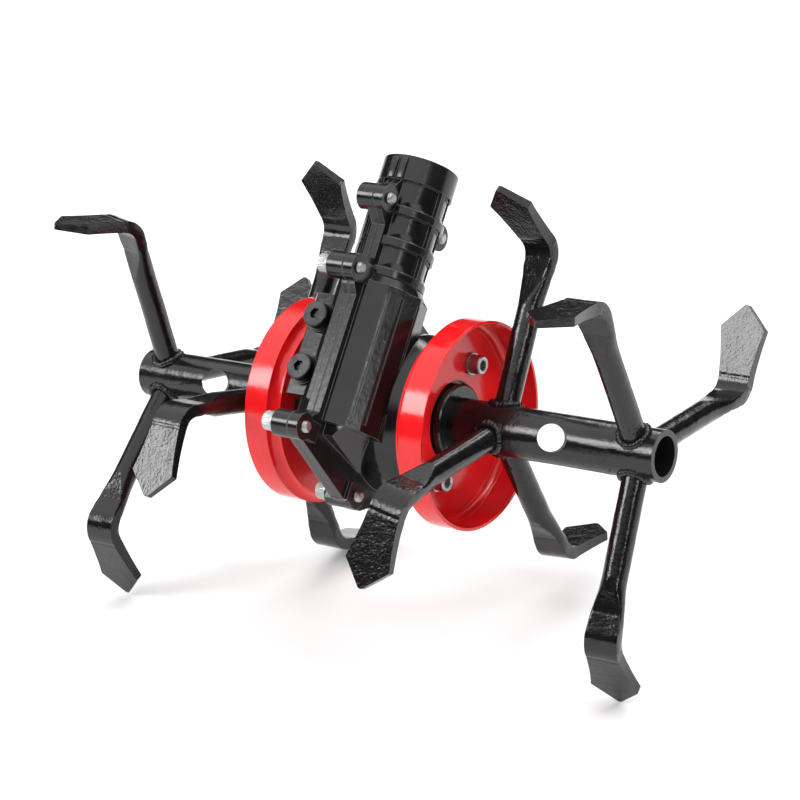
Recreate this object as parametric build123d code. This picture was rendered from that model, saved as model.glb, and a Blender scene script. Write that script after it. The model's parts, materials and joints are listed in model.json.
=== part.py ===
from build123d import *
import math
import os

# Rotary weeding head for a straight boom: a worm gearbox whose collar clamps on the boom, two
# tubular hubs on its cross axle with six forged tines each, and a cupped guard on each side.
#
# Everything is drawn first in the gearbox's own axes, about the centre of the axle: +X along the
# axle, +Z along the boom, -Y forward. stand() then leans it back to the way it stands on its
# tines and moves the origin to the mouth of the boom socket.

LEAN = 42.0                  # boom axis, degrees back from vertical
CENTRE = 39.0                # worm axis forward of the axle
MOUTH = 119.0                # mouth of the boom socket above the axle

# boom collar
BOOM_R = 13.0
SOCKET_FLOOR = 62.0
COLLAR_R = 19.8
NECK_R = 17.6
RIB_R = 20.0
NECK_BOTTOM = 50.0
COLLAR_HEIGHT = 13.0
NECK_RIBS = (55.0, 71.0, 88.0)       # ring ribs, heights of their lower faces
NECK_RIB_WIDTH = 4.0
NECK_BARS = (84, 150, -24, -40, -56, -72, -112, -150)   # upright ribs, degrees from front
NECK_BAR = (2.6, 4.0)                # width and depth of an upright rib

# worm tunnel
TUNNEL_R = 24.0
TUNNEL_BOTTOM = -25.0
TUNNEL_RIDGES = (14.0, 38.6, 58.0, 90.0, 125.0, 155.0)
TUNNEL_SHOULDER = 5.0
GROOVES = (42.1, 62.0, 90.0)         # long grooves beside the ridges, degrees from front
GROOVE = (1.8, 3.0)                  # width and depth of a groove
KEEL_HALF_WIDTH = 15.0
KEEL_EDGE = 3.0                      # half width of the keel's bottom edge
KEEL_FRONT = -31.0
KEEL_BACK = -40.0
KEEL_START = 58.0
KEEL_END = 14.0

# wheel case
CASE_R = 42.0
CASE_HALF = 18.0
PAD_R = 37.0
PAD_START = 30.0
PAD_FACE = 36.0
CAVITY_R = 34.5
CAVITY_HALF = 9.0
CASE_BORE_R = 16.0           # opening between the wheel's room and each axle bearing

# parting joint between the two shells
GASKET = 0.5
FLANGE_HALF = 4.0
LUG_R = 7.0
LUG_LEFT = -10.0
LUG_RIGHT = 6.0
LUGS = ((65.4, 92.4), (72.4, 52.3), (76.3, -32.9), (16.4, -50.2), (13.5, 91.8))
LUG_WEB = 10.0               # height of the web that joins a lug to the tunnel
SUNK_HEAD = 6.4              # depth of the counterbore in the uppermost lug
SUNK_HEAD_R = 5.4

# bracket pad on the left shell
PAD_X = -18.0
PAD_WIDTH = 17.0
PAD_DEPTH = 24.0
PAD_FRONT = 58.0
PAD_STRIP = 4.0              # how far the strip beside the pad stands proud of it
PAD_BOTTOM = -13.0
PAD_TOP = 41.0
PAD_BOLTS = (28.0, 0.0)

# fasteners
M6_R = 3.0
M6_HEAD_R = 5.0
M6_HEAD = 6.0
M6_WASHER_R = 5.8
M6_WASHER = 1.6
M6_LENGTH = 20.0
GUARD_SCREW_LENGTH = 16.0
M8_R = 4.0
M8_HEAD_R = 6.9
M8_HEAD = 4.0
M8_WASHER_R = 8.0
M8_WASHER = 1.4
M8_LENGTH = 18.0
M8_CAP_R = 6.5
M8_CAP = 8.0
HUB_WASHER = 2.4
KEY_M6 = 5.0                 # hexagon keys, across flats
KEY_M8 = 6.0
SPOT_FACE = 0.4              # room round the bracket bolts' washers
FIT = 0.04                   # radial clearance of a running or located fit

# worm drive
MODULE = 1.75
TEETH = 34
WORM_PITCH_R = 9.25
WORM_HALF = 13.0
WORM_ROOM_R = 12.5
WHEEL_WIDTH = 14.0
WHEEL_FILL = 0.80            # share of half a pitch that each tooth fills
WORM_FILL = 0.86             # share of half a pitch that the thread fills
WORM_END = 60.0
SOCKET_END_R = 8.6
SPLINES = 9
SPLINE_R = 4.0
SPLINE_DEPTH = 20.0
SPLINE = (1.4, 1.2)          # width and depth of a spline groove
KEY = 6.0
KEY_SEAT = 3.5               # depth of the key below the axle's surface
KEY_RISE = 2.5               # height of the key above it
KEY_HALF = 10.0

# output axle
AXLE_R = 10.0
AXLE_SHOULDER = 44.0
HEX_AF = 14.0
HEX_END = 70.0
OUT_BEARING = (10.0, 18.5, 9.0)      # bore radius, outer radius, width
OUT_BEARING_X = 13.0
UPPER_BEARING = (6.0, 14.0, 8.0)
UPPER_BEARING_Z = 30.0
LOWER_BEARING = (5.0, 11.0, 6.0)
LOWER_BEARING_Z = -24.0
SEAL_X = 26.0
SEAL_WIDTH = 7.0
CIRCLIP_X = 22.2
CIRCLIP_WIDTH = 1.4

# cupped guards
GUARD_R = 53.5
GUARD_HOLE_R = 21.0
GUARD_SHEET = 1.6
GUARD_RIM = 54.7
GUARD_CORNER = 5.0
GUARD_SCREWS = 31.5

# hubs and tines
TUBE_R = 13.0
TUBE_BORE_R = 10.0
TUBE_END = 160.2
FLANGE_R = 19.6
FLANGE_X = 38.2
FLANGE_WIDTH = 3.8
CROSS_HOLE_R = 7.0
CROSS_HOLE_SKEW = {"right": 32.0, "left": 39.0}   # hole axis, degrees from square to the tube
CROSS_HOLE_CLOCK = 62.0
CROSS_HOLES = {"right": 95.8, "left": -117.4}
ROD_R = 6.5
ROD_END = 62.0
CORNER_R = 95.4
BLADE = 46.9
BLADE_WIDTH = 25.6           # across the shoulders of the point
BEND_WIDTH = 17.6            # across the flat where it bends
BLADE_THICK = 6.4            # at the bend
BLADE_EDGE = 3.4             # thickness at the point
BLADE_FLARE = 0.34           # share of the extra width reached half way to the shoulders
BLADE_START = 84.0           # where the forged flat begins, along the rod
BLADE_POINT = 13.1
BEND = 64.0
BEND_R = 11.0
# set: (station on the axle, clock angle of the first tine, then the hand-bending error of each of
# the three tines as clock, bend and twist, all in degrees; clock 0 is up and 90 is forward)
TINE_SETS = {
    "right_outer": (146.5, 24.0, ((-4, -4, 0), (3, -4, -7), (1, 2, 0))),
    "right_inner": (66.5, 85.0, ((2, -1, -12), (-2, -4, -4), (0, 2, -11))),
    "left_outer": (-146.5, 10.0, ((0, 0, -16), (-3, 5, 1), (6, 0, 5))),
    "left_inner": (-66.5, 72.0, ((-1, 6, -1), (-4, 0, 0), (6, 0, 2))),
}

STAND = Rot(-LEAN, 0, 0)
SOCKET = (STAND * Pos(0, -CENTRE, MOUTH)).position


def stand(shape):
    return Pos(-SOCKET.X, -SOCKET.Y, -SOCKET.Z) * STAND * shape


def save(name, *solids):
    shape = solids[0] if len(solids) == 1 else Compound(children=list(solids))
    export_step(shape, f"parts/{name}.step")
    return shape


def rod_x(radius, start, end, y=0.0, z=0.0):
    bar = Cylinder(radius, abs(end - start), align=(Align.CENTER, Align.CENTER, Align.MIN))
    return Pos(min(start, end), y, z) * Rot(0, 90, 0) * bar


def rod_y(radius, start, end, x=0.0, z=0.0):
    bar = Cylinder(radius, abs(end - start), align=(Align.CENTER, Align.CENTER, Align.MIN))
    return Pos(x, min(start, end), z) * Rot(-90, 0, 0) * bar


def rod_z(radius, start, end, x=0.0, y=0.0):
    bar = Cylinder(radius, abs(end - start), align=(Align.CENTER, Align.CENTER, Align.MIN))
    return Pos(x, y, min(start, end)) * bar


def block(low, high):
    size = [abs(b - a) for a, b in zip(low, high)]
    middle = [(a + b) / 2 for a, b in zip(low, high)]
    return Pos(*middle) * Box(*size)


def prism_x(points, start, end):
    """Solid of the outline `points`, each (forward, up), between two stations along X."""
    face = make_face(Polyline([(start, -s, u) for s, u in points], close=True))
    return extrude(face, end - start, dir=(1, 0, 0))


def ring(bore, outer, width):
    return Cylinder(outer, width) - Cylinder(bore, width)


def ring_x(bore, outer, start, width):
    return Pos(start + width / 2, 0, 0) * Rot(0, 90, 0) * ring(bore, outer, width)


def tunnel_outline():
    """Faceted section of the worm tunnel, its ridges mirrored about the parting plane."""
    right = [(TUNNEL_R * math.sin(math.radians(a)), -CENTRE - TUNNEL_R * math.cos(math.radians(a)))
             for a in TUNNEL_RIDGES]
    left = [(-x, y) for x, y in reversed(right)]
    return make_face(Polyline(right + left, close=True))


def tunnel():
    body = extrude(tunnel_outline(), NECK_BOTTOM - TUNNEL_BOTTOM)
    body = Pos(0, 0, TUNNEL_BOTTOM) * body
    shoulder = Cone(TUNNEL_R - 0.6, RIB_R, TUNNEL_SHOULDER,
                    align=(Align.CENTER, Align.CENTER, Align.MIN))
    body += Pos(0, -CENTRE, NECK_BOTTOM - 0.5) * shoulder
    groove = Pos(0, -TUNNEL_R, (NECK_BOTTOM + TUNNEL_BOTTOM) / 2) \
        * Box(*GROOVE, NECK_BOTTOM - TUNNEL_BOTTOM - 8.0)
    for angle in GROOVES:
        for side in (-1, 1):
            body -= Pos(0, -CENTRE, 0) * Rot(0, 0, side * angle) * groove
    return body


def keel():
    """V-shaped underside of the worm tunnel, deeper at the back than at the front."""
    outline = Polyline([(-KEEL_HALF_WIDTH, -KEEL_START, TUNNEL_BOTTOM),
                        (KEEL_HALF_WIDTH, -KEEL_START, TUNNEL_BOTTOM),
                        (KEEL_EDGE, -KEEL_START, KEEL_BACK),
                        (-KEEL_EDGE, -KEEL_START, KEEL_BACK)], close=True)
    body = extrude(make_face(outline), KEEL_START - KEEL_END, dir=(0, 1, 0))
    under = prism_x([(KEEL_START + 1, KEEL_FRONT), (KEEL_START + 1, KEEL_BACK - 5),
                     (KEEL_END - 1, KEEL_BACK - 5), (KEEL_END - 1, KEEL_BACK)],
                    -KEEL_HALF_WIDTH - 1, KEEL_HALF_WIDTH + 1)
    return body - under


def neck():
    body = rod_z(NECK_R, NECK_BOTTOM, MOUTH, y=-CENTRE)
    body += rod_z(COLLAR_R, MOUTH - COLLAR_HEIGHT, MOUTH, y=-CENTRE)
    for height in NECK_RIBS:
        body += rod_z(RIB_R, height, height + NECK_RIB_WIDTH, y=-CENTRE)
    bar_length = MOUTH - COLLAR_HEIGHT - NECK_BOTTOM
    bar = Pos(0, -RIB_R + NECK_BAR[1] / 2, NECK_BOTTOM + bar_length / 2) * Box(*NECK_BAR, bar_length)
    for turn in NECK_BARS:
        body += Pos(0, -CENTRE, 0) * Rot(0, 0, turn) * bar
    return body


def wheel_case():
    body = rod_x(CASE_R, -CASE_HALF, CASE_HALF)
    for side in (-1, 1):
        taper = Cone(CASE_R, PAD_R, PAD_START - CASE_HALF,
                     align=(Align.CENTER, Align.CENTER, Align.MIN))
        body += Pos(side * CASE_HALF, 0, 0) * Rot(0, side * 90, 0) * taper
        body += rod_x(PAD_R, side * PAD_START, side * PAD_FACE)
    return body


def parting_flange():
    outline = [(57.5, 106.0), (64.0, 98.0), (68.0, 86.0), (60.5, 80.0), (60.5, 62.0), (74.0, 59.0),
               (70.0, 44.0), (66.0, 40.0), (66.0, -22.0), (73.0, -27.0), (80.0, -36.5),
               (74.0, -38.5), (22.0, -55.5), (8.0, -56.0), (-20.0, -41.0), (-43.0, -18.0),
               (-46.0, 0.0), (-41.0, 20.0), (-24.0, 40.0), (12.0, 50.0), (18.0, 62.0),
               (18.5, 84.0), (8.0, 87.0), (10.0, 97.0), (19.5, 104.0)]
    return prism_x(outline, -FLANGE_HALF, FLANGE_HALF)


def lugs():
    body = None
    for forward, up in LUGS:
        lug = rod_x(LUG_R, LUG_LEFT, LUG_RIGHT, -forward, up)
        body = lug if body is None else body + lug
    return body


def bracket_pad():
    low = (PAD_X - PAD_WIDTH / 2, -PAD_FRONT, PAD_BOTTOM)
    high = (PAD_X + PAD_WIDTH / 2, -PAD_FRONT + PAD_DEPTH, PAD_TOP)
    pad = block(low, high)
    strip = block((PAD_X + M8_WASHER_R + 0.5, -PAD_FRONT - PAD_STRIP, PAD_BOTTOM - 2.0),
                  (-FLANGE_HALF + 0.5, -PAD_FRONT + PAD_DEPTH / 2, PAD_TOP + 4.0))
    return chamfer(pad.edges().filter_by(Axis.Z), 1.5) + strip


def housing_outside():
    body = tunnel() + keel() + neck() + wheel_case()
    body += parting_flange()
    body += lugs()
    body += bracket_pad()
    for forward, up in LUGS[1:4]:
        back = 12.0 if forward > CENTRE else -8.0
        body += block((LUG_LEFT + 2.0, -forward, up - LUG_WEB / 2),
                      (LUG_RIGHT, -forward + back, up + LUG_WEB / 2))
    return body


def housing_cavity():
    cut = rod_z(BOOM_R, SOCKET_FLOOR, MOUTH + 1, y=-CENTRE)
    cut += rod_z(SOCKET_END_R + 0.8, UPPER_BEARING_Z + UPPER_BEARING[2], SOCKET_FLOOR + 1, y=-CENTRE)
    cut += rod_z(UPPER_BEARING[1], UPPER_BEARING_Z, UPPER_BEARING_Z + UPPER_BEARING[2], y=-CENTRE)
    cut += rod_z(WORM_ROOM_R, LOWER_BEARING_Z + LOWER_BEARING[2] + 1, UPPER_BEARING_Z + 1, y=-CENTRE)
    cut += rod_z(LOWER_BEARING[1], LOWER_BEARING_Z, -WORM_HALF, y=-CENTRE)
    cut += rod_x(CAVITY_R, -CAVITY_HALF, CAVITY_HALF)
    for side in (-1, 1):
        cut += rod_x(CASE_BORE_R, 0, side * (OUT_BEARING_X + 1))
        cut += rod_x(OUT_BEARING[1], side * OUT_BEARING_X, side * (PAD_FACE + 5))
        cut += rod_x(OUT_BEARING[1] + 1.2, side * CIRCLIP_X, side * (CIRCLIP_X + CIRCLIP_WIDTH))
        for up in (GUARD_SCREWS, -GUARD_SCREWS):
            cut += rod_x(M6_R + FIT, side * (PAD_FACE - GUARD_SCREW_LENGTH), side * (PAD_FACE + 1), z=up)
    for forward, up in LUGS:
        cut += rod_x(M6_R + FIT, LUG_LEFT - 1, LUG_RIGHT + 1, -forward, up)
    forward, up = LUGS[0]
    cut += rod_x(SUNK_HEAD_R, LUG_LEFT - 1, LUG_LEFT + SUNK_HEAD, -forward, up)
    for up in PAD_BOLTS:
        cut += rod_y(M8_R + FIT, -PAD_FRONT - 1, -PAD_FRONT + M8_LENGTH, PAD_X, up)
        cut += rod_y(M8_WASHER_R + SPOT_FACE, -PAD_FRONT - 12.0, -PAD_FRONT, PAD_X, up)
    return cut


def housing():
    body = housing_outside() - housing_cavity()
    left = body & block((-90, -130, -90), (-GASKET / 2, 90, 160))
    right = body & block((GASKET / 2, -130, -90), (90, 90, 160))
    sheet = body & block((-GASKET / 2, -130, -90), (GASKET / 2, 90, NECK_BOTTOM))
    return left, right, sheet


def bearing(bore, outer, width, balls):
    """Inner ring, outer ring and balls of a ball bearing about Z, free to turn on each other."""
    pitch = (bore + outer) / 2
    ball_r = (outer - bore) * 0.28
    track = Torus(pitch, ball_r + FIT)
    inner = ring(bore, pitch - ball_r * 0.4, width) - track
    outer_ring = ring(pitch + ball_r * 0.4, outer, width) - track
    spheres = [spot * Sphere(ball_r) for spot in PolarLocations(pitch, balls)]
    return inner, outer_ring, spheres


def output_bearings():
    bore, outer, width = OUT_BEARING
    inners, outers, balls = [], [], []
    for side in (-1, 1):
        place = Pos(side * (OUT_BEARING_X + width / 2), 0, 0) * Rot(0, 90, 0)
        inner, outer_ring, spheres = bearing(bore, outer - FIT / 2, width, 12)
        inners.append(place * inner)
        outers.append(place * outer_ring)
        balls += [place * ball for ball in spheres]
    return inners, outers, balls


def worm_bearings():
    inners, outers, balls = [], [], []
    for size, bottom in ((UPPER_BEARING, UPPER_BEARING_Z), (LOWER_BEARING, LOWER_BEARING_Z)):
        bore, outer, width = size
        place = Pos(0, -CENTRE, bottom + width / 2)
        inner, outer_ring, spheres = bearing(bore, outer - FIT / 2, width, 8)
        inners.append(place * inner)
        outers.append(place * outer_ring)
        balls += [place * ball for ball in spheres]
    return inners, outers, balls


def oil_seal(side):
    seal = ring_x(AXLE_R + FIT, OUT_BEARING[1] - FIT / 2, SEAL_X, SEAL_WIDTH)
    seal -= ring_x(AXLE_R + 2.4, OUT_BEARING[1] - 2.0, SEAL_X - 1, SEAL_WIDTH - 1.5)
    seal -= ring_x(AXLE_R + 1.6, AXLE_R + 3.4, SEAL_X + SEAL_WIDTH - 1.5, 2)
    return seal if side > 0 else mirror(seal, about=Plane.YZ)


def circlip(side):
    clip = ring_x(OUT_BEARING[1] - 2.2, OUT_BEARING[1] + 1.1, CIRCLIP_X + 0.1, CIRCLIP_WIDTH - 0.2)
    clip -= block((CIRCLIP_X - 1, -3.0, 0), (CIRCLIP_X + 3, 3.0, OUT_BEARING[1] + 3))
    return clip if side > 0 else mirror(clip, about=Plane.YZ)


def worm_shaft():
    """Single-start right-hand worm with its splined drive socket at the top."""
    pitch = math.pi * MODULE
    core = WORM_PITCH_R - 1.25 * MODULE
    tip = WORM_PITCH_R + MODULE
    half = pitch / 4 * WORM_FILL
    slope = math.tan(math.radians(20))
    turns = 2 * math.ceil(WORM_HALF / pitch) + 2
    bottom = -pitch * turns / 2 - pitch / 4
    helix = Helix(pitch, pitch * turns, core)
    wide = half + (WORM_PITCH_R - core + 0.6) * slope
    narrow = half - (tip - WORM_PITCH_R) * slope
    section = Polyline([(-0.6, -wide), (tip - core, -narrow), (tip - core, narrow), (-0.6, wide)],
                       close=True)
    start = Plane(origin=helix @ 0, x_dir=(1, 0, 0), z_dir=helix % 0)
    thread = sweep(start * make_face(section), path=helix, is_frenet=True)
    worm = Pos(0, 0, bottom) * thread & Cylinder(tip + 1, 2 * WORM_HALF)
    worm += Cylinder(core, 2 * WORM_HALF + 1)
    lower_top = LOWER_BEARING_Z + LOWER_BEARING[2]
    upper_top = UPPER_BEARING_Z + UPPER_BEARING[2]
    worm += rod_z(LOWER_BEARING[0] - FIT / 2, LOWER_BEARING_Z + 0.5, 0)
    worm += rod_z(UPPER_BEARING[0] - FIT / 2, 0, upper_top + 1)
    worm += rod_z(core, lower_top + 0.2, UPPER_BEARING_Z - 0.2)
    worm += rod_z(SOCKET_END_R, upper_top + 0.2, WORM_END)
    worm -= rod_z(SPLINE_R - 0.8, WORM_END - SPLINE_DEPTH, WORM_END + 1)
    for spot in PolarLocations(SPLINE_R - 0.6, SPLINES):
        worm -= Pos(0, 0, WORM_END - SPLINE_DEPTH / 2 + 1) * spot * Box(*SPLINE, SPLINE_DEPTH + 2)
    return Pos(0, -CENTRE, 0) * worm


def worm_wheel():
    """Helical wheel whose tooth gap faces the worm at rest."""
    pitch_r = MODULE * TEETH / 2
    root = pitch_r - 1.25 * MODULE
    tip = pitch_r + MODULE * 0.95
    slope = math.tan(math.radians(20))
    half = math.pi * MODULE / 4 * WHEEL_FILL
    outline = []
    for tooth in range(TEETH):
        middle = 2 * math.pi * (tooth + 0.5) / TEETH
        for radius, side in ((root, -1), (tip, -1), (tip, 1), (root, 1)):
            angle = middle + side * (half + (pitch_r - radius) * slope) / radius
            outline.append((-radius * math.cos(angle), radius * math.sin(angle)))
    lead = math.degrees(MODULE / (2 * WORM_PITCH_R) * WHEEL_WIDTH / pitch_r)
    profile = make_face(Polyline(outline, close=True)).face()
    blank = Solid.extrude_linear_with_rotation(profile, (0, 0, 0), (0, 0, WHEEL_WIDTH), lead)
    blank = Rot(0, 0, -lead / 2) * Pos(0, 0, -WHEEL_WIDTH / 2) * blank
    for side in (-1, 1):
        blank -= Pos(0, 0, side * WHEEL_WIDTH / 2) * ring(AXLE_R + 4, root - 3, 5.0)
    blank += Cylinder(AXLE_R + 4, 2 * (OUT_BEARING_X - 0.2))
    wheel = Rot(0, 90, 0) * Rot(0, 0, 90) * blank
    wheel -= rod_x(AXLE_R, -20, 20)
    return wheel - block((-20, -KEY / 2, 0), (20, KEY / 2, AXLE_R + KEY_RISE + 0.1))


def wheel_key():
    return block((-KEY_HALF, -KEY / 2 + 0.02, AXLE_R - KEY_SEAT),
                 (KEY_HALF, KEY / 2 - 0.02, AXLE_R + KEY_RISE))


def axle_shaft():
    shaft = rod_x(AXLE_R - FIT / 2, -AXLE_SHOULDER, AXLE_SHOULDER)
    flats = extrude(RegularPolygon(HEX_AF / 2, 6, major_radius=False), HEX_END)
    for side in (-1, 1):
        shaft += Rot(0, side * 90, 0) * flats
        shaft -= rod_x(M8_R + FIT, side * (HEX_END - M8_LENGTH), side * (HEX_END + 1))
    return shaft - block((-KEY_HALF, -KEY / 2, AXLE_R - KEY_SEAT), (KEY_HALF, KEY / 2, AXLE_R + 5))


def drive_bush(side):
    bush = Cylinder(TUBE_BORE_R - FIT / 2, HEX_END - AXLE_SHOULDER - 0.5)
    bush -= extrude(RegularPolygon(HEX_AF / 2 + FIT, 6, major_radius=False), 60, both=True)
    middle = (AXLE_SHOULDER + HEX_END) / 2
    return Pos(side * middle, 0, 0) * Rot(0, side * 90, 0) * bush


def socket_screw(shank_r, length, head_r, head, key_af):
    """Socket head screw along +Z, its head below zero and its shank above."""
    screw = Pos(0, 0, -head / 2) * chamfer(Cylinder(head_r, head).edges().group_by(Axis.Z)[0], 0.5)
    screw += rod_z(shank_r, -0.5, length)
    socket = extrude(RegularPolygon(key_af / 2, 6, major_radius=False), head * 0.55)
    return screw - Pos(0, 0, -head) * socket


def washer(shank_r, outer_r, thick):
    return Pos(0, 0, -thick / 2) * ring(shank_r + 0.2, outer_r, thick)


def guard(side):
    outer = Polyline([(PAD_FACE, GUARD_HOLE_R), (PAD_FACE, GUARD_R - GUARD_CORNER)])
    bend = RadiusArc((PAD_FACE, GUARD_R - GUARD_CORNER), (PAD_FACE + GUARD_CORNER, GUARD_R),
                     -GUARD_CORNER)
    inside = GUARD_CORNER - GUARD_SHEET
    wall = Polyline([(PAD_FACE + GUARD_CORNER, GUARD_R), (GUARD_RIM, GUARD_R),
                     (GUARD_RIM, GUARD_R - GUARD_SHEET),
                     (PAD_FACE + GUARD_CORNER, GUARD_R - GUARD_SHEET)])
    inner_bend = RadiusArc((PAD_FACE + GUARD_CORNER, GUARD_R - GUARD_SHEET),
                           (PAD_FACE + GUARD_SHEET, GUARD_R - GUARD_CORNER), inside)
    floor = Polyline([(PAD_FACE + GUARD_SHEET, GUARD_R - GUARD_CORNER),
                      (PAD_FACE + GUARD_SHEET, GUARD_HOLE_R), (PAD_FACE, GUARD_HOLE_R)])
    cup = revolve(make_face([outer, bend, wall, inner_bend, floor]), Axis.X)
    for up in (GUARD_SCREWS, -GUARD_SCREWS):
        cup -= rod_x(M6_R + 0.3, PAD_FACE - 1, PAD_FACE + 5, z=up)
    return cup if side > 0 else mirror(cup, about=Plane.YZ)


def guard_screws():
    screws, washers = [], []
    for side in (-1, 1):
        for up in (GUARD_SCREWS, -GUARD_SCREWS):
            seat = Pos(side * (PAD_FACE + GUARD_SHEET + M6_WASHER), 0, up) * Rot(0, -side * 90, 0)
            screws.append(seat * socket_screw(M6_R, GUARD_SCREW_LENGTH, M6_HEAD_R, M6_HEAD, KEY_M6))
            washers.append(seat * Pos(0, 0, M6_WASHER) * washer(M6_R, M6_WASHER_R, M6_WASHER))
    return screws, washers


def shell_screws():
    forward, up = LUGS[0]
    seat = Pos(LUG_LEFT + SUNK_HEAD, -forward, up) * Rot(0, 90, 0)
    length = M6_LENGTH - M6_WASHER - SUNK_HEAD
    screws = [seat * socket_screw(M6_R, length, M6_HEAD_R, M6_HEAD, KEY_M6)]
    washers = []
    for forward, up in LUGS[1:]:
        seat = Pos(LUG_LEFT - M6_WASHER, -forward, up) * Rot(0, 90, 0)
        screws.append(seat * socket_screw(M6_R, M6_LENGTH, M6_HEAD_R, M6_HEAD, KEY_M6))
        washers.append(seat * Pos(0, 0, M6_WASHER) * washer(M6_R, M6_WASHER_R, M6_WASHER))
    return screws, washers


def bracket_bolts():
    bolts, washers = [], []
    for up in PAD_BOLTS:
        seat = Pos(PAD_X, -PAD_FRONT - 2 * M8_WASHER, up) * Rot(-90, 0, 0)
        bolts.append(seat * socket_screw(M8_R, M8_LENGTH, M8_HEAD_R, M8_HEAD, KEY_M6))
        for layer in (1, 2):
            washers.append(seat * Pos(0, 0, layer * M8_WASHER)
                           * washer(M8_R, M8_WASHER_R - 0.6 * (2 - layer), M8_WASHER))
    return bolts, washers


def hub_screws():
    screws, washers = [], []
    for side in (-1, 1):
        seat = Pos(side * (HEX_END + HUB_WASHER), 0, 0) * Rot(0, -side * 90, 0)
        screws.append(seat * socket_screw(M8_R, M8_LENGTH, M8_CAP_R, M8_CAP, KEY_M8))
        washers.append(seat * Pos(0, 0, HUB_WASHER) * washer(M8_R, TUBE_BORE_R - 0.4, HUB_WASHER))
    return screws, washers


def clock(angle):
    """Turn about the axle that puts +Z at a clock angle of the standing head."""
    return Rot(angle + LEAN, 0, 0)


def hub_tube(side):
    tube = rod_x(TUBE_R, side * (FLANGE_X + FLANGE_WIDTH), side * TUBE_END)
    tube -= rod_x(TUBE_BORE_R, side * FLANGE_X, side * (TUBE_END + 1))
    hand = "right" if side > 0 else "left"
    drill = Pos(CROSS_HOLES[hand], 0, 0) * clock(CROSS_HOLE_CLOCK)
    drill = drill * Rot(0, CROSS_HOLE_SKEW[hand], 0)
    return tube - drill * Cylinder(CROSS_HOLE_R, 80)


def hub_flange(side):
    flange = ring_x(AXLE_R + FIT, FLANGE_R, FLANGE_X, FLANGE_WIDTH)
    flange = chamfer(flange.edges().filter_by(GeomType.CIRCLE).sort_by(Axis.X)[-2:], 0.8)
    return flange if side > 0 else mirror(flange, about=Plane.YZ)


def blade_outline(flare_start):
    """Edges of the blade seen square on: parallel through the bend, then flaring to a point."""
    narrow = BEND_WIDTH / 2
    wide = BLADE_WIDTH / 2
    shoulder = BLADE - BLADE_POINT
    middle = (flare_start + shoulder) / 2
    half_way = narrow + BLADE_FLARE * (wide - narrow)
    return [
        Polyline([(-wide, shoulder), (0, BLADE), (wide, shoulder)]),
        ThreePointArc((wide, shoulder), (half_way, middle), (narrow, flare_start)),
        Polyline([(narrow, flare_start), (narrow, -60), (-narrow, -60), (-narrow, flare_start)]),
        ThreePointArc((-narrow, flare_start), (-half_way, middle), (-wide, shoulder)),
    ]


def blade(bend):
    """Forged blade beyond the rod, along +Z and bending forward, with a pointed end."""
    turn = math.radians(bend)
    half = BLADE_THICK / 2
    start = CORNER_R - BEND_R * math.tan(turn / 2)
    along = Vector(0, -math.sin(turn), math.cos(turn))
    inward = Vector(0, -math.cos(turn), -math.sin(turn))
    centre = Vector(0, -BEND_R, start)
    arc_end = centre - inward * BEND_R
    tip = Vector(0, 0, CORNER_R) + along * BLADE
    mid = Vector(0, -math.cos(turn / 2), -math.sin(turn / 2))

    outer = [Vector(0, half, BLADE_START), Vector(0, half, start)]
    inner = [Vector(0, -half, BLADE_START), Vector(0, -half, start)]
    edges = [
        Line(outer[0], outer[1]),
        ThreePointArc(outer[1], centre - mid * (BEND_R + half), arc_end - inward * half),
        Line(arc_end - inward * half, tip - inward * BLADE_EDGE / 2),
        Line(tip - inward * BLADE_EDGE / 2, tip + inward * BLADE_EDGE / 2),
        Line(tip + inward * BLADE_EDGE / 2, arc_end + inward * half),
        ThreePointArc(arc_end + inward * half, centre - mid * (BEND_R - half), inner[1]),
        Line(inner[1], inner[0]),
        Line(inner[0], outer[0]),
    ]
    plate = extrude(make_face(edges), BLADE_WIDTH / 2, dir=(1, 0, 0), both=True)
    face = Plane(origin=(0, 0, CORNER_R), x_dir=(1, 0, 0), z_dir=inward)
    return plate & extrude(face * make_face(blade_outline(CORNER_R - start)), 80, both=True)


def tine(station, angle, bend, twist):
    """Round rod flattened and bent into a blade, coped to sit on the hub tube."""
    rod = rod_z(ROD_R, TUBE_R - 3, ROD_END)
    taper = loft([Pos(0, 0, ROD_END) * Circle(ROD_R),
                  Pos(0, 0, BLADE_START) * Rectangle(BEND_WIDTH, BLADE_THICK)])
    shape = rod + taper + blade(bend)
    place = Pos(station, 0, 0) * clock(angle)
    return place * Rot(0, 0, twist) * shape - rod_x(TUBE_R, station - 20, station + 20)


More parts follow.
